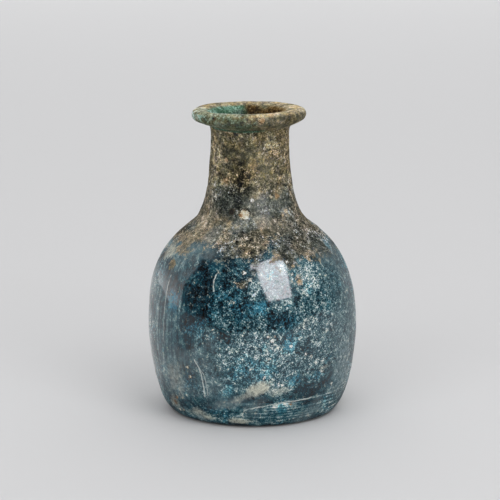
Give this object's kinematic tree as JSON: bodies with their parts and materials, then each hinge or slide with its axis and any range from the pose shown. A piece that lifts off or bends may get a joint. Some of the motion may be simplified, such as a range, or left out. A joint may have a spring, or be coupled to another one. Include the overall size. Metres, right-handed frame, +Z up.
{
  "type": "glass perfume flask",
  "caption": "Small hand-blown glass flask for perfume or oil: barrel-shaped body, rounded shoulder, straight neck with a flared foot, thick folded rim, weathered surface.",
  "frame": {"origin": "on the ground under the axis of the body, at the centre of the flat ring that the flask rests on", "axes": "+Z up through the mouth, -Y towards the side that the picture shows, +X to its right"},
  "size_m": [0.0688, 0.0688, 0.1005],
  "materials": {
    "weathered_glass": "dark teal glass under pitted, iridescent weathering and tan soil crust, glossy on the body and dull on the neck"
  },
  "bodies": {
    "root": {"flask": "weathered_glass"}
  },
  "joints": []
}
